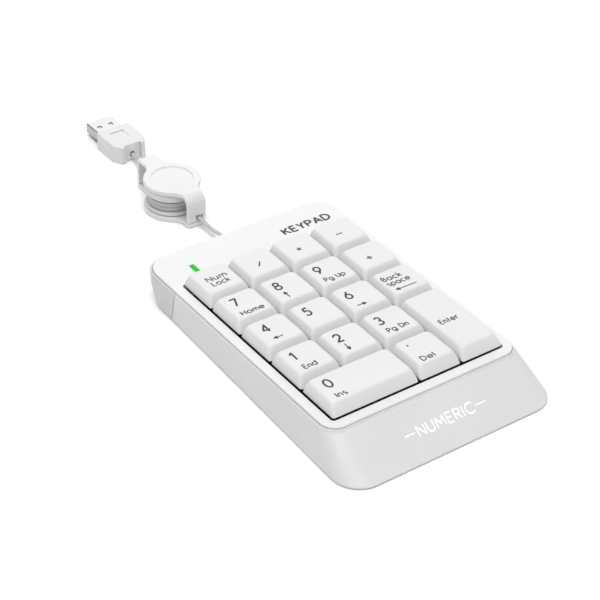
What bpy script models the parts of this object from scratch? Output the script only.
"""Eighteen-key numeric keypad with a retractable cable reel and a USB plug.

Lengths in this file are millimetres and become metres where a mesh is made.
+X is to the right, +Y towards the rear edge, +Z up. The origin is on the desk
under the middle of the keypad's body.
"""
import math

import bmesh
import bpy
from mathutils import Matrix, Vector

MM = 0.001
GAP = 0.3  # clearance between neighbouring pieces

# Key block
PITCH = 19.0
COLUMNS = 4
ROWS = 5
BLOCK_WIDTH = COLUMNS * PITCH
BLOCK_DEPTH = ROWS * PITCH
BLOCK_LEFT = -BLOCK_WIDTH / 2
BLOCK_FRONT = -46.4
BLOCK_REAR = BLOCK_FRONT + BLOCK_DEPTH
KEY_TRAVEL = 3.0
KEY_SPACE = 0.35  # from a cap's edge to its cell's edge
KEYS = (
    # name, column from the left, row from the front, cells wide, cells deep
    ("key_0", 0, 0, 2, 1), ("key_dot", 2, 0, 1, 1), ("key_enter", 3, 0, 1, 2),
    ("key_1", 0, 1, 1, 1), ("key_2", 1, 1, 1, 1), ("key_3", 2, 1, 1, 1),
    ("key_4", 0, 2, 1, 1), ("key_5", 1, 2, 1, 1), ("key_6", 2, 2, 1, 1), ("key_backspace", 3, 2, 1, 1),
    ("key_7", 0, 3, 1, 1), ("key_8", 1, 3, 1, 1), ("key_9", 2, 3, 1, 1), ("key_plus", 3, 3, 1, 1),
    ("key_num_lock", 0, 4, 1, 1), ("key_slash", 1, 4, 1, 1), ("key_star", 2, 4, 1, 1),
    ("key_minus", 3, 4, 1, 1),
)

# Heights above the desk
CASE_BOTTOM = 0.6
FLOOR_TOP = 2.6
MEMBRANE = (2.9, 3.5)
DOME_SHEET = (3.8, 4.2)
DOME_TOP = 7.6
GUIDE_PLATE = (5.2, 6.2)
GUIDE_TUBE_TOP = 11.6
CAP_BOTTOM = 14.2
CAP_CEILING = 17.4
CAP_TOP = 18.7
STEM_BOTTOM = DOME_TOP + GAP
LEDGE = 12.1  # what the cover lies on
COVER_BOTTOM = 12.4
LIP_TOP = 13.1  # what stands round the cover's edge
COVER_TOP = 13.9

# Body outline
COVER_HALF_WIDTH = 42.25
COVER_FRONT = -50.6
REAR_EDGE = 69.3
PALM_FRONT = -69.4
PALM_HALF_WIDTH = 47.07
SEAM_Y = 47.1  # between the skirt and the rear part of the case, half-way up
SEAM_LEAN = 0.155  # how far it leans forwards for each unit of height
SEAM_HALF_WIDTH = 43.3

# Guides, domes and stems
STEM_RADIUS = 3.2
TUBE_OUTER_RADIUS = 5.0
TUBE_BORE_RADIUS = 4.2
DOME_BASE_RADIUS = 3.8

# Stabilizer wire of a double key, seen along +X with the key's centre at y = 0
WIRE_RADIUS = 0.5
WIRE_PIVOT_Y = -6.2
WIRE_PIVOT_Z = 10.1
WIRE_ARM = 7.0
WIRE_ARM_X = 12.8
WIRE_PIN_X = 9.8
WIRE_TILT = math.asin(KEY_TRAVEL / 2 / WIRE_ARM)
WIRE_PIN_Y = WIRE_PIVOT_Y + WIRE_ARM * math.cos(WIRE_TILT)
WIRE_PIN_Z = WIRE_PIVOT_Z + WIRE_ARM * math.sin(WIRE_TILT)

# Status light and electronics
LED_CENTRE = (-28.1, 55.8)
LED_SIZE = (2.0, 4.9)
BOARD = (-32.6, 14.0, 50.7, 59.2, 5.0, 6.6)

# Screws and feet
CASE_SCREWS = ((-36.0, 54.5), (36.0, 54.5), (-34.0, -58.0), (34.0, -58.0))
GUIDE_SCREWS = ((-19.0, BLOCK_FRONT + PITCH), (0.0, BLOCK_FRONT + PITCH),
                (-19.0, BLOCK_FRONT + 4 * PITCH), (19.0, BLOCK_FRONT + 4 * PITCH))
FEET = ((-33.0, -45.0), (33.0, -45.0), (-33.0, 44.0), (33.0, 44.0))
FOOT_RADIUS = 4.5
FOOT_HEIGHT = 1.6

# Cable: a flat ribbon, whose diameter here is its width
CORD_RADIUS = 0.9
GLAND_X = 0.8
GLAND_Z = 4.8
GLAND_END = 74.4

# Retractable reel, standing on the desk behind the keypad
REEL_X = -1.0
REEL_Y = 114.8
REEL_RADIUS = 11.8
REEL_ARM_HALF_WIDTH = 4.3
REEL_ARMS = (
    # direction along Y, length from the reel's centre, sideways shift, radius of the bend
    (-1, 18.0, 0.6, 4.5), (1, 20.8, 0.0, 1.8),
)
REEL_HEIGHT = 14.0
REEL_BASE = 2.0
REEL_LID = 1.9
SLOT_WIDTH = 3.4
SLOT_HEIGHT = 2.6
SLOTS = ((0.65, 3.9), (0.6, 5.5))  # x and z: the first faces the keypad, the second the plug
AXLE_RADIUS = 2.0
WOUND_INNER_RADIUS = 5.3
WOUND_OUTER_RADIUS = 10.8

# USB plug
PLUG_X = 4.2
PLUG_REAR = 153.8
PLUG_FRONT = 171.2
PLUG_HALF_WIDTH = 7.9
PLUG_HEIGHT = 8.0
SHELL_WIDTH = 12.0
SHELL_HEIGHT = 4.5
SHELL_BOTTOM = 1.4
SHELL_END = 183.2
SHELL_WALL = 0.3

# Routes of the two free stretches of cable
LEAD_ROUTE = (
    (0.8, 62.0, 4.8), (0.8, 67.0, 4.8), (0.8, 74.4, 4.8), (0.8, 78.6, 4.5), (0.8, 83.2, 3.7),
    (0.75, 88.0, 3.1), (0.7, 92.4, 3.3), (0.65, 96.8, 3.85), (0.65, 100.5, 3.9), (0.65, 103.6, 3.9),
)
TAIL_ROUTE = (
    (0.6, 126.1, 5.5), (0.6, 130.5, 5.5), (0.6, 135.6, 5.5), (0.9, 139.0, 5.0), (1.8, 142.8, 4.0),
    (3.0, 146.6, 3.2), (3.9, 150.2, 2.9), (4.2, 154.0, 3.0), (4.2, 158.2, 3.0),
)

FINISHES = {
    # name: (colour, roughness, metallic)
    "white_plastic": ((0.90, 0.90, 0.90), 0.42, 0.0),
    "skirt_plastic": ((0.78, 0.78, 0.79), 0.38, 0.0),
    "inner_plastic": ((0.10, 0.10, 0.11), 0.55, 0.0),
    "silicone": ((0.75, 0.77, 0.78), 0.60, 0.0),
    "film": ((0.62, 0.66, 0.62), 0.35, 0.0),
    "circuit_board": ((0.05, 0.28, 0.12), 0.50, 0.0),
    "chip": ((0.03, 0.03, 0.03), 0.45, 0.0),
    "steel": ((0.62, 0.62, 0.63), 0.28, 1.0),
    "contact_metal": ((0.85, 0.65, 0.25), 0.25, 1.0),
    "lamp": ((0.12, 0.80, 0.18), 0.25, 0.0),
    "foot_rubber": ((0.20, 0.20, 0.21), 0.80, 0.0),
    "cable_jacket": ((0.80, 0.80, 0.80), 0.50, 0.0),
}


def remove_all():
    """Empties the scene."""
    for item in list(bpy.data.objects):
        bpy.data.objects.remove(item, do_unlink=True)


def make_collection(name):
    collection = bpy.data.collections.new(name)
    bpy.context.scene.collection.children.link(collection)
    return collection


def make_finishes():
    """One Principled material for each finish."""
    finishes = {}
    for name, (colour, roughness, metallic) in FINISHES.items():
        material = bpy.data.materials.new(name)
        material.use_nodes = True
        shader = material.node_tree.nodes["Principled BSDF"]
        shader.inputs["Base Color"].default_value = (*colour, 1.0)
        shader.inputs["Roughness"].default_value = roughness
        shader.inputs["Metallic"].default_value = metallic
        finishes[name] = material
    return finishes


remove_all()
MODEL = make_collection("numeric_keypad")
CUTTERS = make_collection("cutters")
MATERIALS = make_finishes()


# ---------------------------------------------------------------- building blocks


def add_object(name, data, finish, location=(0.0, 0.0, 0.0)):
    """Puts a mesh or a curve in the model with its finish."""
    item = bpy.data.objects.new(name, data)
    item.location = Vector(location) * MM
    MODEL.objects.link(item)
    if finish:
        data.materials.clear()
        data.materials.append(MATERIALS[finish])
    return item


def add_tool(name, data):
    """Puts a mesh among the cutters, which aren't pieces of the keypad."""
    item = bpy.data.objects.new(name, data)
    CUTTERS.objects.link(item)
    item.hide_render = True
    item.display_type = "WIRE"
    return item


def shade(mesh, angle=35.0):
    mesh.shade_smooth()
    mesh.set_sharp_from_angle(angle=math.radians(angle))


def finish_mesh(bm, name, smooth=True):
    bmesh.ops.recalc_face_normals(bm, faces=bm.faces)
    mesh = bpy.data.meshes.new(name)
    bm.to_mesh(mesh)
    bm.free()
    if smooth:
        shade(mesh)
    return mesh


def rounded(corners, segments=2):
    """Outline through (x, y, radius) corners, anticlockwise, each with its own fillet."""
    points = []
    for index, (x, y, radius) in enumerate(corners):
        corner = Vector((x, y))
        back = (Vector(corners[index - 1][:2]) - corner).normalized()
        ahead = (Vector(corners[(index + 1) % len(corners)][:2]) - corner).normalized()
        half = back.angle(ahead) / 2
        centre = corner + (back + ahead).normalized() * (radius / math.sin(half))
        first = (corner + back * (radius / math.tan(half)) - centre).normalized()
        last = (corner + ahead * (radius / math.tan(half)) - centre).normalized()
        for step in range(segments + 1):
            points.append(centre + first.slerp(last, step / segments) * radius)
    return points


def rectangle(x0, x1, y0, y1, radius=0.05, segments=2):
    return rounded([(x0, y0, radius), (x1, y0, radius), (x1, y1, radius), (x0, y1, radius)], segments)


def at_height(outline, z):
    return [(x, y, z) for x, y in outline]


def loft_mesh(name, rings, closed_loop=False):
    """A closed surface through rings of equally many points: capped, or joined end to start."""
    bm = bmesh.new()
    layers = [[bm.verts.new(Vector(point) * MM) for point in ring] for ring in rings]
    pairs = list(zip(layers, layers[1:]))
    if closed_loop:
        pairs.append((layers[-1], layers[0]))
    else:
        bm.faces.new(layers[0])
        bm.faces.new(layers[-1])
    for low, high in pairs:
        for index in range(len(low)):
            after = (index + 1) % len(low)
            bm.faces.new((low[index], low[after], high[after], high[index]))
    return finish_mesh(bm, name)


def cylinders_mesh(name, centres, radius, z0, z1, sides=12, top_radius=None):
    """Upright cylinders, or cones, with one size and several centres."""
    bm = bmesh.new()
    for x, y in centres:
        place = Matrix.Translation(Vector((x, y, (z0 + z1) / 2)) * MM)
        upper = radius if top_radius is None else top_radius
        bmesh.ops.create_cone(bm, cap_ends=True, segments=sides, radius1=radius * MM,
                              radius2=upper * MM, depth=(z1 - z0) * MM, matrix=place)
    return finish_mesh(bm, name)


def boxes_mesh(name, boxes):
    """Boxes given as (x0, x1, y0, y1, z0, z1)."""
    bm = bmesh.new()
    for x0, x1, y0, y1, z0, z1 in boxes:
        middle = Vector((x0 + x1, y0 + y1, z0 + z1)) / 2 * MM
        size = Vector((x1 - x0, y1 - y0, z1 - z0)) * MM
        place = Matrix.Translation(middle) @ Matrix.Diagonal((*size, 1.0))
        bmesh.ops.create_cube(bm, size=1.0, matrix=place)
    return finish_mesh(bm, name, smooth=False)


def turned_mesh(name, profile, steps=24):
    """A ring turned about Z from a closed profile of (radius, height) points."""
    bm = bmesh.new()
    corners = [bm.verts.new(Vector((r, 0.0, z)) * MM) for r, z in profile]
    for index, corner in enumerate(corners):
        bm.edges.new((corner, corners[(index + 1) % len(corners)]))
    outline = bpy.data.meshes.new(name + "_profile")
    bm.to_mesh(outline)
    bm.free()
    turned = add_object(name + "_profile", outline, None)
    screw = turned.modifiers.new("turn", "SCREW")
    screw.angle = math.tau
    screw.steps = steps
    screw.render_steps = steps
    screw.use_merge_vertices = True
    screw.merge_threshold = 0.00001
    return settled_mesh(turned, name)


def settled_mesh(item, name):
    """The evaluated mesh of an object, which is then removed."""
    bpy.context.view_layer.update()
    graph = bpy.context.evaluated_depsgraph_get()
    mesh = bpy.data.meshes.new_from_object(item.evaluated_get(graph))
    mesh.name = name
    bm = bmesh.new()
    bm.from_mesh(mesh)
    bmesh.ops.remove_doubles(bm, verts=bm.verts, dist=0.000005)
    bmesh.ops.recalc_face_normals(bm, faces=bm.faces)
    bm.to_mesh(mesh)
    bm.free()
    shade(mesh)
    bpy.data.objects.remove(item, do_unlink=True)
    return mesh


def plate_mesh(name, outlines, z0, z1):
    """A flat plate: the first outline is its edge, and the others are holes."""
    curve = bpy.data.curves.new(name + "_outline", "CURVE")
    curve.dimensions = "2D"
    curve.fill_mode = "BOTH"
    curve.extrude = (z1 - z0) / 2 * MM
    for outline in outlines:
        spline = curve.splines.new("POLY")
        spline.points.add(len(outline) - 1)
        for point, (x, y) in zip(spline.points, outline):
            point.co = (x * MM, y * MM, 0.0, 1.0)
        spline.use_cyclic_u = True
    flat = add_object(name + "_outline", curve, None)
    mesh = settled_mesh(flat, name)
    mesh.transform(Matrix.Translation((0.0, 0.0, (z0 + z1) / 2 * MM)))
    return mesh


def circle(x, y, radius, sides=12):
    turn = math.tau / sides
    return [(x + radius * math.cos(turn * k), y + radius * math.sin(turn * k)) for k in range(sides)]


def combine(item, operation, tool):
    """Joins a tool to a piece, or cuts it away, with an exact Boolean modifier."""
    boolean = item.modifiers.new(tool.name, "BOOLEAN")
    boolean.operation = operation
    boolean.solver = "EXACT"
    boolean.object = tool
    return item


def join(item, name, mesh):
    return combine(item, "UNION", add_tool(name, mesh))


def cut(item, name, mesh):
    return combine(item, "DIFFERENCE", add_tool(name, mesh))


def tube(name, points, radius, finish, resolution=2, cyclic=False):
    """A round wire or cord along a line of points."""
    curve = bpy.data.curves.new(name, "CURVE")
    curve.dimensions = "3D"
    curve.bevel_depth = radius * MM
    curve.bevel_resolution = resolution
    curve.use_fill_caps = True
    spline = curve.splines.new("POLY")
    spline.points.add(len(points) - 1)
    for point, place in zip(spline.points, points):
        point.co = (*(Vector(place) * MM), 1.0)
    spline.use_cyclic_u = cyclic
    return add_object(name, curve, finish)


def smooth_route(route, spacing):
    """Points along a Catmull-Rom curve through a route, about a spacing apart."""
    knots = [Vector(point) for point in route]
    knots = [2 * knots[0] - knots[1]] + knots + [2 * knots[-1] - knots[-2]]
    points = []
    for a, b, c, d in zip(knots, knots[1:], knots[2:], knots[3:]):
        pieces = max(1, round((c - b).length / spacing))
        for step in range(pieces):
            t = step / pieces
            points.append(0.5 * (2 * b + (c - a) * t + (2 * a - 5 * b + 4 * c - d) * t ** 2
                                 + (3 * b - a - 3 * c + d) * t ** 3))
    return points + [knots[-2]]


# ---------------------------------------------------------------- keys


def key_centre(column, row, wide, deep):
    return (BLOCK_LEFT + PITCH * (column + wide / 2), BLOCK_FRONT + PITCH * (row + deep / 2))


def cap_ring(wide, deep, z, side, front, rear, radius):
    """One level of a keycap: insets from its edge, and the radius of its corners."""
    half_x = wide * PITCH / 2 - KEY_SPACE
    half_y = deep * PITCH / 2 - KEY_SPACE
    return at_height(rectangle(side - half_x, half_x - side, front - half_y, half_y - rear, radius), z)


def keycap_mesh(wide, deep):
    """A hollow cap with a round stem, and on a double key two hooks for its wire."""
    inner = [cap_ring(wide, deep, CAP_CEILING, 2.3, 3.4, 1.7, 0.8),
             cap_ring(wide, deep, 15.6, 1.4, 1.9, 1.3, 0.8),
             cap_ring(wide, deep, CAP_BOTTOM, 1.1, 1.2, 1.1, 0.6)]
    outer = [cap_ring(wide, deep, CAP_BOTTOM, 0.0, 0.0, 0.0, 1.0),
             cap_ring(wide, deep, 15.8, 0.2, 0.85, 0.08, 1.3),
             cap_ring(wide, deep, 17.2, 0.65, 1.7, 0.25, 1.7),
             cap_ring(wide, deep, 18.3, 1.25, 2.5, 0.6, 2.0),
             cap_ring(wide, deep, CAP_TOP, 1.9, 3.0, 1.1, 2.1)]
    name = "keycap_%dx%d" % (wide, deep)
    cap = add_object(name, loft_mesh(name, inner + outer), "white_plastic")
    stem_top = (CAP_CEILING + CAP_TOP) / 2
    join(cap, name + "_stem", cylinders_mesh(name, [(0, 0)], STEM_RADIUS, STEM_BOTTOM, stem_top))
    if wide + deep > 2:
        posts = [(9.4, 11.8, -1.5, 2.2, 9.7, stem_top), (-11.8, -9.4, -1.5, 2.2, 9.7, stem_top)]
        slots = [(8.4, 12.8, -0.3, 3.2, WIRE_PIN_Z - 0.85, WIRE_PIN_Z + 0.85),
                 (-12.8, -8.4, -0.3, 3.2, WIRE_PIN_Z - 0.85, WIRE_PIN_Z + 0.85)]
        post_mesh = boxes_mesh(name + "_posts", posts)
        slot_mesh = boxes_mesh(name + "_slots", slots)
        if deep > wide:
            post_mesh.transform(Matrix.Rotation(math.pi / 2, 4, "Z"))
            slot_mesh.transform(Matrix.Rotation(math.pi / 2, 4, "Z"))
        join(cap, name + "_posts", post_mesh)
        cut(cap, name + "_slots", slot_mesh)
    return settled_mesh(cap, name)


def make_keycaps():
    """Every key is its own piece; keys of one size share a mesh."""
    meshes = {}
    for name, column, row, wide, deep in KEYS:
        if (wide, deep) not in meshes:
            meshes[wide, deep] = keycap_mesh(wide, deep)
        add_object(name, meshes[wide, deep], "white_plastic", (*key_centre(column, row, wide, deep), 0.0))


def make_stabilizer(name, centre, turn):
    """A bent wire that keeps a double key level, with its pins in the cap's hooks."""
    tilted = Vector((0.0, math.cos(WIRE_TILT), math.sin(WIRE_TILT)))
    pivot = Vector((WIRE_ARM_X, WIRE_PIVOT_Y, WIRE_PIVOT_Z))
    bend = 0.7
    right = [Vector((WIRE_PIN_X, WIRE_PIN_Y, WIRE_PIN_Z)),
             Vector((WIRE_ARM_X - bend, WIRE_PIN_Y, WIRE_PIN_Z)),
             pivot + tilted * (WIRE_ARM - bend),
             pivot + tilted * bend,
             pivot - Vector((bend, 0.0, 0.0))]
    left = [Vector((-point.x, point.y, point.z)) for point in reversed(right)]
    about_axis = [point - Vector((0.0, WIRE_PIVOT_Y, WIRE_PIVOT_Z)) for point in right + left]
    wire = tube(name, about_axis, WIRE_RADIUS, "steel", resolution=1)
    axis_point = Vector((0.0, WIRE_PIVOT_Y, WIRE_PIVOT_Z))
    axis_point.rotate(Matrix.Rotation(turn, 3, "Z"))
    wire.location = (axis_point + Vector((*centre, 0.0))) * MM
    wire.rotation_euler = (0.0, 0.0, turn)
    return wire


# ---------------------------------------------------------------- switch layers


def key_centres():
    return [key_centre(*key[1:]) for key in KEYS]


def make_guide_frame():
    """The black plate whose tubes guide the stems, with clips for the two wires."""
    outline = rectangle(-39.4, 39.4, BLOCK_FRONT - 0.8, BLOCK_REAR + 0.8, 1.0)
    plate = plate_mesh("key_guide_frame", [outline], *GUIDE_PLATE)
    frame = add_object("key_guide_frame", plate, "inner_plastic")
    tubes = cylinders_mesh("guide_tubes", key_centres(), TUBE_OUTER_RADIUS, 5.7, GUIDE_TUBE_TOP)
    join(frame, "guide_tubes", tubes)
    clips = []
    clip_holes = []
    for name, column, row, wide, deep in KEYS:
        if wide + deep == 2:
            continue
        spin = Matrix.Rotation(math.pi / 2 if deep > wide else 0.0, 4, "Z")
        place = Matrix.Translation(Vector((*key_centre(column, row, wide, deep), 0.0)) * MM) @ spin
        clip = boxes_mesh(name + "_clips", [(5.5, 7.5, -7.3, -5.1, 5.7, 11.6),
                                            (-7.5, -5.5, -7.3, -5.1, 5.7, 11.6)])
        clip.transform(place)
        clips.append(clip)
        hole = cylinders_mesh(name + "_clip_hole", [(0.0, 0.0)], WIRE_RADIUS + GAP, -9.0, 9.0, 8)
        hole.transform(Matrix.Translation(Vector((0.0, WIRE_PIVOT_Y, WIRE_PIVOT_Z)) * MM)
                       @ Matrix.Rotation(math.pi / 2, 4, "Y"))
        hole.transform(place)
        clip_holes.append(hole)
    for mesh in clips:
        join(frame, mesh.name, mesh)
    for mesh in clip_holes:
        cut(frame, mesh.name, mesh)
    cut(frame, "guide_bores", cylinders_mesh("guide_bores", key_centres(), TUBE_BORE_RADIUS, 4.0, 14.0))
    cut(frame, "guide_screw_holes", cylinders_mesh("guide_screw_holes", GUIDE_SCREWS, 1.3, 4.0, 8.0, 8))


def make_dome_sheet():
    """The silicone sheet: one collapsing dome under each stem, open below."""
    outline = rectangle(-38.0, 38.0, BLOCK_FRONT, BLOCK_REAR, 2.0)
    holes = [circle(x, y, 3.0, 8) for x, y in GUIDE_SCREWS]
    sheet = add_object("dome_sheet", plate_mesh("dome_sheet", [outline] + holes, *DOME_SHEET), "silicone")
    domes = cylinders_mesh("domes", key_centres(), DOME_BASE_RADIUS, 4.0, DOME_TOP, 10, top_radius=2.3)
    hollows = cylinders_mesh("dome_hollows", key_centres(), 3.2, 3.0, 6.8, 10, top_radius=1.7)
    join(sheet, "domes", domes)
    cut(sheet, "dome_hollows", hollows)


def make_membrane():
    """The three printed films, drawn as one, with the tail that runs under the board."""
    edge = rounded([(-38.0, BLOCK_FRONT, 2.0), (38.0, BLOCK_FRONT, 2.0), (38.0, BLOCK_REAR, 2.0),
                    (-8.0, BLOCK_REAR, 0.6), (-8.0, 58.0, 0.6), (-24.0, 58.0, 0.6),
                    (-24.0, BLOCK_REAR, 0.6), (-38.0, BLOCK_REAR, 2.0)])
    holes = [circle(x, y, 3.0, 8) for x, y in GUIDE_SCREWS]
    add_object("membrane", plate_mesh("membrane", [edge] + holes, *MEMBRANE), "film")


def make_electronics():
    """The controller board, its chip and cable socket, and the light with its lens."""
    x0, x1, y0, y1, z0, z1 = BOARD
    add_object("controller_board", plate_mesh("controller_board", [rectangle(x0, x1, y0, y1, 1.0)], z0, z1),
               "circuit_board")
    chip_bottom = z1 + GAP
    chip = boxes_mesh("controller_chip", [(-19.0, -12.0, 51.6, 58.6, chip_bottom, 8.2)])
    add_object("controller_chip", chip, "chip")
    block = boxes_mesh("cable_socket", [(-3.6, 5.2, 51.5, 56.0, chip_bottom, 9.2)])
    socket = add_object("cable_socket", block, "white_plastic")
    cut(socket, "socket_mouth", boxes_mesh("socket_mouth", [(-2.6, 4.2, 52.7, 58.0, 7.6, 10.0)]))
    led_x, led_y = LED_CENTRE
    add_object("status_led", cylinders_mesh("status_led", [(0.0, 0.0)], 1.4, chip_bottom, 8.6, 16),
               "lamp", (led_x, led_y, 0.0))
    half_x, half_y = LED_SIZE[0] / 2, LED_SIZE[1] / 2
    window = rectangle(-half_x, half_x, -half_y, half_y, 0.25)
    add_object("led_lens", plate_mesh("led_lens", [window], 8.9, COVER_TOP), "lamp", (led_x, led_y, 0.0))


# ---------------------------------------------------------------- housing


def cover_outline(inset, segments=5):
    width = COVER_HALF_WIDTH - inset
    front, rear = COVER_FRONT + inset, REAR_EDGE - inset
    return rounded([(-width, front, 6.5 - inset), (width, front, 6.5 - inset),
                    (width, rear, 9.0 - inset), (-width, rear, 9.0 - inset)], segments)


def make_top_cover():
    """The flat white frame round the keys, with the wall of the key well under it."""
    rings = [at_height(cover_outline(0.15), COVER_BOTTOM), at_height(cover_outline(0.0), 12.6),
             at_height(cover_outline(0.0), 13.5), at_height(cover_outline(0.12), 13.8),
             at_height(cover_outline(0.4), COVER_TOP)]
    cover = add_object("top_cover", loft_mesh("top_cover", rings), "white_plastic")
    well = (BLOCK_LEFT - 0.2, -BLOCK_LEFT + 0.2, BLOCK_FRONT - 0.2, BLOCK_REAR + 0.2)
    wall = rectangle(well[0] - 1.2, well[1] + 1.2, well[2] - 1.2, well[3] + 1.2, 2.6)
    join(cover, "well_wall", plate_mesh("well_wall", [wall], 7.2, 13.0))
    rear_screws = CASE_SCREWS[:2]
    join(cover, "cover_bosses", cylinders_mesh("cover_bosses", rear_screws, 2.6, FLOOR_TOP + GAP, 13.0))
    cut(cover, "key_opening", plate_mesh("key_opening", [rectangle(*well, 1.4)], 5.0, 16.0))
    led_x, led_y = LED_CENTRE
    half_x, half_y = LED_SIZE[0] / 2 + GAP, LED_SIZE[1] / 2 + GAP
    window = [(led_x - half_x, led_x + half_x, led_y - half_y, led_y + half_y, 10.0, 16.0)]
    cut(cover, "led_window", boxes_mesh("led_window", window))
    cut(cover, "cover_screw_holes", cylinders_mesh("cover_screw_holes", rear_screws, 1.3, 2.0, 10.0, 8))


def seam(z):
    """Where the leaning seam is at a height."""
    return SEAM_Y - SEAM_LEAN * (z - 6.5)


def skirt_edge(z, half_front, half_rear, front, radius):
    """The skirt at one height: up to the left seam, round the front, and back to the right seam."""
    rear = seam(z) - GAP / 2
    loop = rounded([(-half_rear, rear, 0.2), (-half_front, front, radius), (half_front, front, radius),
                    (half_rear, rear, 0.2)], 5)
    return [Vector((-half_rear, rear))] + loop[6:18] + [Vector((half_rear, rear))]


def make_skirt():
    """The surround: a sloping palm face in front and flared sides up to the seams."""
    levels = (
        # height, half-width in front, half-width at the seams, front edge, corner radius
        (CASE_BOTTOM, PALM_HALF_WIDTH - 0.3, SEAM_HALF_WIDTH - 0.3, PALM_FRONT + 0.3, 10.7),
        (1.1, PALM_HALF_WIDTH, SEAM_HALF_WIDTH, PALM_FRONT, 11.0),
        (12.6, COVER_HALF_WIDTH + 0.85, COVER_HALF_WIDTH + 0.85, COVER_FRONT - 0.8, 7.2),
        (LIP_TOP, COVER_HALF_WIDTH + 0.65, COVER_HALF_WIDTH + 0.65, COVER_FRONT - 0.45, 7.0),
        (LIP_TOP, COVER_HALF_WIDTH + GAP, COVER_HALF_WIDTH + GAP, COVER_FRONT - GAP, 6.8),
        (LEDGE, COVER_HALF_WIDTH + GAP, COVER_HALF_WIDTH + GAP, COVER_FRONT - GAP, 6.8),
        (LEDGE, 40.9, 40.9, COVER_FRONT + 1.8, 5.0),
        (CASE_BOTTOM, PALM_HALF_WIDTH - 1.8, SEAM_HALF_WIDTH - 1.8, PALM_FRONT + 2.9, 9.2),
    )
    edges = [at_height(skirt_edge(*level), level[0]) for level in levels]
    skirt = add_object("palm_skirt", loft_mesh("palm_skirt", list(zip(*edges))), "skirt_plastic")
    front_screws = CASE_SCREWS[2:]
    bosses = cylinders_mesh("skirt_bosses", front_screws, 2.6, FLOOR_TOP + GAP, 7.0)
    for corner in bosses.vertices:
        if corner.co.z > 5.0 * MM:
            corner.co.z = 0.9 * MM + 0.632 * (corner.co.y - (PALM_FRONT + 1.45) * MM)
    join(skirt, "skirt_bosses", bosses)
    cut(skirt, "skirt_screw_holes", cylinders_mesh("skirt_screw_holes", front_screws, 1.3, 2.0, 5.6, 8))


def tub_ring(z, half, rear, radius, inside=0.0):
    """The case's rear part at one height, behind the seams."""
    front = seam(z) + GAP / 2 + inside
    return at_height(rounded([(-half, front, 0.2), (half, front, 0.2),
                              (half, rear, radius), (-half, rear, radius)], 5), z)


def make_bottom_case():
    """The floor under everything, with the rear walls that tuck in towards the desk."""
    floor = [
        at_height(rounded([(-44.7, -66.0, 8.6), (44.7, -66.0, 8.6), (41.0, SEAM_Y + 3.0, 0.2),
                           (-41.0, SEAM_Y + 3.0, 0.2)], 5), CASE_BOTTOM + 0.1),
        at_height(rounded([(-43.9, -63.0, 8.0), (43.9, -63.0, 8.0), (40.4, SEAM_Y + 3.0, 0.2),
                           (-40.4, SEAM_Y + 3.0, 0.2)], 5), FLOOR_TOP),
    ]
    side, back = COVER_HALF_WIDTH + 0.85, REAR_EDGE + 0.85
    walls = ((CASE_BOTTOM, 43.0, 65.0), (1.2, 43.3, 65.6), (4.6, 43.4, 67.6), (8.6, 43.4, 69.2),
             (12.6, side, back), (LIP_TOP, side - 0.2, back - 0.2))
    outer = [tub_ring(z, half, rear, 9.2) for z, half, rear in walls]
    inner = [tub_ring(z, half - 1.8, rear - 1.8, 7.2, 2.0) for z, half, rear in reversed(walls[2:])]
    inner.append(tub_ring(FLOOR_TOP - 0.2, 41.2, 64.0, 7.2, 2.0))
    case = add_object("bottom_case", loft_mesh("bottom_case", outer + inner), "skirt_plastic")
    mouth = [(-40.6, 40.6, SEAM_Y - 2.0, SEAM_Y + 4.0, FLOOR_TOP - 0.1, 20.0)]
    cut(case, "tub_mouth", boxes_mesh("tub_mouth", mouth))
    half, rear = COVER_HALF_WIDTH + GAP, REAR_EDGE + GAP
    seat = rounded([(-half, 40.0, 0.2), (half, 40.0, 0.2), (half, rear, 9.0), (-half, rear, 9.0)], 5)
    cut(case, "cover_seat", plate_mesh("cover_seat", [seat], LEDGE, 15.0))
    join(case, "case_floor", loft_mesh("case_floor", floor))
    join(case, "guide_bosses", cylinders_mesh("guide_bosses", GUIDE_SCREWS, 2.5, 1.6, 4.9, 8))
    x0, x1, y0, y1, z0, z1 = BOARD
    board_posts = [(x0 + 2, y0 + 2), (x1 - 2, y0 + 2), (x0 + 2, y1 - 2), (x1 - 2, y1 - 2)]
    join(case, "board_posts", cylinders_mesh("board_posts", board_posts, 1.5, 1.6, z0 - GAP, 8))
    cut(case, "guide_boss_holes", cylinders_mesh("guide_boss_holes", GUIDE_SCREWS, 1.3, 1.4, 6.0, 8))
    pocket_top = FOOT_HEIGHT + GAP
    cut(case, "foot_pockets", cylinders_mesh("foot_pockets", FEET, FOOT_RADIUS + GAP, -1.0, pocket_top, 20))
    cut(case, "head_pockets", cylinders_mesh("head_pockets", CASE_SCREWS, 2.5, -1.0, 1.7, 12))
    cut(case, "case_screw_holes", cylinders_mesh("case_screw_holes", CASE_SCREWS, 1.3, -2.0, 5.0, 8))
    hole = cylinders_mesh("gland_hole", [(0.0, 0.0)], 2.3, -8.0, 8.0, 16)
    place = Matrix.Translation(Vector((GLAND_X, 66.0, GLAND_Z)) * MM)
    hole.transform(place @ Matrix.Rotation(math.pi / 2, 4, "X"))
    cut(case, "gland_hole", hole)
    recess = [(GLAND_X - 3.4, GLAND_X + 3.4, 61.4, 63.9, 1.5, 3.0)]
    cut(case, "gland_recess", boxes_mesh("gland_recess", recess))


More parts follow.
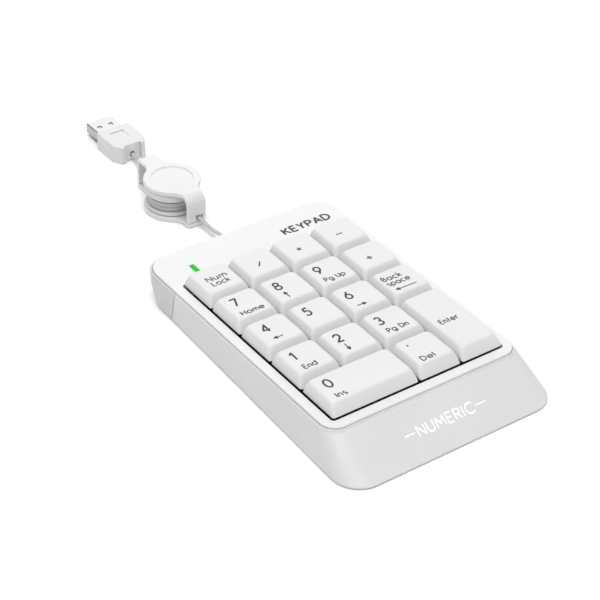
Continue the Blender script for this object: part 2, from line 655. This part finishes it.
def make_screws_and_feet():
    """Case screws from below, guide screws from above, and four rubber feet."""
    places = ("rear_left", "rear_right", "front_left", "front_right")
    for place, (x, y) in zip(places, CASE_SCREWS):
        length = 9.4 if y > 0 else 5.3
        profile = [(0.0, length), (0.95, length), (0.95, 1.45), (2.1, 1.45), (2.1, 0.75), (0.0, 0.75)]
        add_object("case_screw_" + place, solid_of_turn("case_screw", profile), "steel", (x, y, 0.0))
    for index, (x, y) in enumerate(GUIDE_SCREWS):
        profile = [(0.0, 7.4), (2.0, 7.4), (2.0, 6.5), (0.95, 6.5), (0.95, 1.9), (0.0, 1.9)]
        name = "guide_screw_%d" % (index + 1)
        add_object(name, solid_of_turn("guide_screw", profile), "steel", (x, y, 0.0))
    for place, (x, y) in zip(("front_left", "front_right", "rear_left", "rear_right"), FEET):
        profile = [(0.0, FOOT_HEIGHT), (FOOT_RADIUS, FOOT_HEIGHT), (FOOT_RADIUS, 0.3),
                   (FOOT_RADIUS - 0.3, 0.0), (0.0, 0.0)]
        add_object("foot_" + place, solid_of_turn("foot", profile, 20), "foot_rubber", (x, y, 0.0))


def solid_of_turn(name, profile, steps=8):
    """A solid turned about Z from a profile that starts and ends on the axis, top to bottom."""
    bm = bmesh.new()
    corners = [bm.verts.new(Vector((r, 0.0, z)) * MM) for r, z in profile]
    for first, second in zip(corners, corners[1:]):
        bm.edges.new((first, second))
    outline = bpy.data.meshes.new(name + "_profile")
    bm.to_mesh(outline)
    bm.free()
    turned = add_object(name + "_profile", outline, None)
    screw = turned.modifiers.new("turn", "SCREW")
    screw.angle = math.tau
    screw.steps = steps
    screw.render_steps = steps
    screw.use_merge_vertices = True
    screw.merge_threshold = 0.00001
    return settled_mesh(turned, name)


def make_gland():
    """The strain relief through the rear wall, turned about the cable."""
    profile = [(1.25, -12.6), (3.0, -12.6), (3.0, -11.0), (2.0, -11.0), (2.0, -5.4),
               (2.6, -5.4), (2.6, -4.6), (1.7, 0.0), (1.25, 0.0)]
    gland = turned_mesh("cable_gland", profile, 12)
    gland.transform(Matrix.Rotation(-math.pi / 2, 4, "X"))
    add_object("cable_gland", gland, "white_plastic", (GLAND_X, GLAND_END, GLAND_Z))


# ---------------------------------------------------------------- reel


def reel_neck(y, shift, side):
    """Where the plates' edge is, at a distance from the centre: a disc that narrows to an arm."""
    neck_start, neck_end = 9.3, 14.6
    wide = math.sqrt(REEL_RADIUS ** 2 - neck_start ** 2)
    span = neck_end - neck_start
    t = min(1.0, (y - neck_start) / span)
    slope = -neck_start / wide * span
    half = ((2 * t ** 3 - 3 * t ** 2 + 1) * wide + (t ** 3 - 2 * t ** 2 + t) * slope
            + (3 * t ** 2 - 2 * t ** 3) * REEL_ARM_HALF_WIDTH)
    return side * half + shift * t


def reel_outline():
    """The plates' outline, anticlockwise from the front arm's tip and up the right side."""
    half_turn = math.asin(9.3 / REEL_RADIUS)
    sides = []
    for side in (1, -1):
        line = []
        for step in range(11):
            angle = half_turn * (step / 5 - 1)
            line.append((side * REEL_RADIUS * math.cos(angle), REEL_RADIUS * math.sin(angle)))
        for direction, length, shift, bend in REEL_ARMS:
            arm = [(reel_neck(y, shift, side), direction * y) for y in (10.8, 12.2, 14.6, length - 1.2)]
            arm.append((side * (REEL_ARM_HALF_WIDTH - 1.2) + shift, direction * length))
            line = line + arm if direction > 0 else arm[::-1] + line
        sides.append(line)
    return sides[0] + sides[1][::-1]


def arm_mesh(name, length, shift, bend):
    """One end of the top cover: it bends down from the plate to the base, seen along X."""
    outside, inside = length - 0.2, length - 2.1
    foot = REEL_BASE + GAP
    arc = [(outside - bend + bend * math.sin(math.pi / 2 * k / 5), REEL_HEIGHT - 0.2 - bend
            + bend * math.cos(math.pi / 2 * k / 5)) for k in range(6)]
    fillet = max(bend - 1.9, 0.6)
    side = arc + [(outside, foot), (inside, foot), (inside, 12.4 - fillet),
                  (inside - fillet * 0.3, 12.4 - fillet * 0.3), (inside - fillet, 12.4), (inside - fillet, 12.9)]
    half = REEL_ARM_HALF_WIDTH - 0.15
    rings = [[(x + shift, y, z) for y, z in side] for x in (-half, half)]
    return loft_mesh(name, rings)


def make_reel_covers():
    """The two shells of the reel: the upper one carries the cable slots at its ends."""
    place = (REEL_X, REEL_Y, 0.0)
    base = plate_mesh("reel_bottom_cover", [reel_outline()], 0.0, REEL_BASE)
    bottom = add_object("reel_bottom_cover", base, "white_plastic", place)
    axle = cylinders_mesh("axle", [(0.0, 0.0)], AXLE_RADIUS, 0.7, REEL_HEIGHT - REEL_LID - GAP, 16)
    axle.transform(Matrix.Translation(Vector(place) * MM))
    join(bottom, "axle", axle)
    lid = plate_mesh("reel_top_cover", [reel_outline()], REEL_HEIGHT - REEL_LID, REEL_HEIGHT)
    top = add_object("reel_top_cover", lid, "white_plastic", place)
    for (end, length, shift, bend), (slot_x, slot_z) in zip(REEL_ARMS, SLOTS):
        arm = arm_mesh("reel_arm_%d" % end, length, end * shift, bend)
        half_turn = Matrix.Rotation(math.pi / 2 * (1 - end), 4, "Z")
        arm.transform(Matrix.Translation(Vector(place) * MM) @ half_turn)
        join(top, arm.name, arm)
        slot_y = REEL_Y + end * length
        slot = [(slot_x - SLOT_WIDTH / 2, slot_x + SLOT_WIDTH / 2, slot_y - 4.0, slot_y + 4.0,
                 slot_z - SLOT_HEIGHT / 2, slot_z + SLOT_HEIGHT / 2)]
        cut(top, "reel_slot_%d" % end, boxes_mesh("reel_slot_%d" % end, slot))


def make_reel_inside():
    """The spool, its spiral spring and the two layers of wound cable."""
    place = (REEL_X, REEL_Y, 0.0)
    spool = [(2.4, 2.3), (11.0, 2.3), (11.0, 3.6), (5.0, 3.6), (5.0, 8.7), (11.2, 8.7),
             (11.2, 11.6), (10.3, 11.6), (10.3, 9.3), (2.4, 9.3)]
    add_object("reel_spool", turned_mesh("reel_spool", spool, 24), "white_plastic", place)
    for name, low, high in (("cord_wound_lead", 3.9, 5.7), ("cord_wound_tail", 6.0, 7.8)):
        ring = [(WOUND_INNER_RADIUS, low), (WOUND_OUTER_RADIUS, low), (WOUND_OUTER_RADIUS, high),
                (WOUND_INNER_RADIUS, high)]
        add_object(name, turned_mesh(name, ring, 24), "cable_jacket", place)
    turns, steps = 4, 12
    spiral = []
    for step in range(turns * steps + 1):
        angle = math.tau * step / steps
        radius = 3.0 + 6.2 * step / (turns * steps)
        spiral.append((radius * math.cos(angle), radius * math.sin(angle), 0.0))
    spring = tube("reel_spring", spiral, 0.13, "steel", resolution=0)
    spring.data.extrude = 0.45 * MM
    spring.location = Vector((REEL_X, REEL_Y, 10.5)) * MM


# ---------------------------------------------------------------- cable and plug


def make_cable():
    """The two free stretches of cable, on either side of the reel."""
    tube("cord_lead", smooth_route(LEAD_ROUTE, 2.2), CORD_RADIUS, "cable_jacket")
    tube("cord_tail", smooth_route(TAIL_ROUTE, 2.2), CORD_RADIUS, "cable_jacket")


def make_plug():
    """The moulded grip, the metal shell, its tongue and its contacts."""
    chamfer_x, chamfer_y = 2.2, 4.1
    half = PLUG_HALF_WIDTH
    grip_outline = rounded([(-half + chamfer_x, PLUG_REAR, 0.5), (half - chamfer_x, PLUG_REAR, 0.5),
                            (half, PLUG_REAR + chamfer_y, 1.0), (half, PLUG_FRONT, 0.6),
                            (-half, PLUG_FRONT, 0.6), (-half, PLUG_REAR + chamfer_y, 1.0)])
    grip = add_object("usb_grip", plate_mesh("usb_grip", [grip_outline], 0.0, PLUG_HEIGHT),
                      "white_plastic", (PLUG_X, 0.0, 0.0))
    bore = cylinders_mesh("grip_bore", [(0.0, 0.0)], CORD_RADIUS + 0.35, -5.0, 5.0, 12)
    place = Matrix.Translation(Vector((PLUG_X, PLUG_REAR, 3.0)) * MM)
    bore.transform(place @ Matrix.Rotation(math.pi / 2, 4, "X"))
    cut(grip, "grip_bore", bore)
    half_width, top = SHELL_WIDTH / 2, SHELL_BOTTOM + SHELL_HEIGHT
    rear = PLUG_FRONT + GAP

    rings = []
    for inset, y in ((0.0, rear), (0.0, SHELL_END), (SHELL_WALL, SHELL_END), (SHELL_WALL, rear)):
        side = half_width - inset
        section = rectangle(-side, side, SHELL_BOTTOM + inset, top - inset, 0.6 - inset)
        rings.append([(x, y, z) for x, z in section])
    shell_mesh = loft_mesh("usb_shell", rings, closed_loop=True)
    shell = add_object("usb_shell", shell_mesh, "steel", (PLUG_X, 0.0, 0.0))
    holes = [(PLUG_X + x - 1.0, PLUG_X + x + 1.0, 176.2, 178.4, top - 1.0, top + 1.0) for x in (-2.8, 2.8)]
    cut(shell, "shell_windows", boxes_mesh("shell_windows", holes))
    tongue_top = top - SHELL_WALL - GAP
    tongue = (-5.3, 5.3, rear, SHELL_END - 0.7, tongue_top - 1.6, tongue_top)
    add_object("usb_tongue", boxes_mesh("usb_tongue", [tongue]), "inner_plastic", (PLUG_X, 0.0, 0.0))
    contact_z = tongue[4] - GAP
    comb = boxes_mesh("usb_contacts", [(-4.3, 4.3, rear, rear + 2.0, contact_z - 0.3, contact_z)])
    contacts = add_object("usb_contacts", comb, "contact_metal", (PLUG_X, 0.0, 0.0))
    fingers = []
    for x in (-3.5, -1.0, 1.0, 3.5):
        fingers.append((PLUG_X + x - 0.5, PLUG_X + x + 0.5, rear + 1.0, SHELL_END - 2.0,
                        contact_z - 0.25, contact_z - 0.05))
    join(contacts, "contact_fingers", boxes_mesh("contact_fingers", fingers))


def build():
    make_keycaps()
    double_keys = [key for key in KEYS if key[3] + key[4] > 2]
    for name, column, row, wide, deep in double_keys:
        turn = math.pi / 2 if deep > wide else 0.0
        make_stabilizer("stabilizer_" + name[4:], key_centre(column, row, wide, deep), turn)
    make_guide_frame()
    make_dome_sheet()
    make_membrane()
    make_electronics()
    make_top_cover()
    make_skirt()
    make_bottom_case()
    make_screws_and_feet()
    make_gland()
    make_reel_covers()
    make_reel_inside()
    make_cable()
    make_plug()


build()
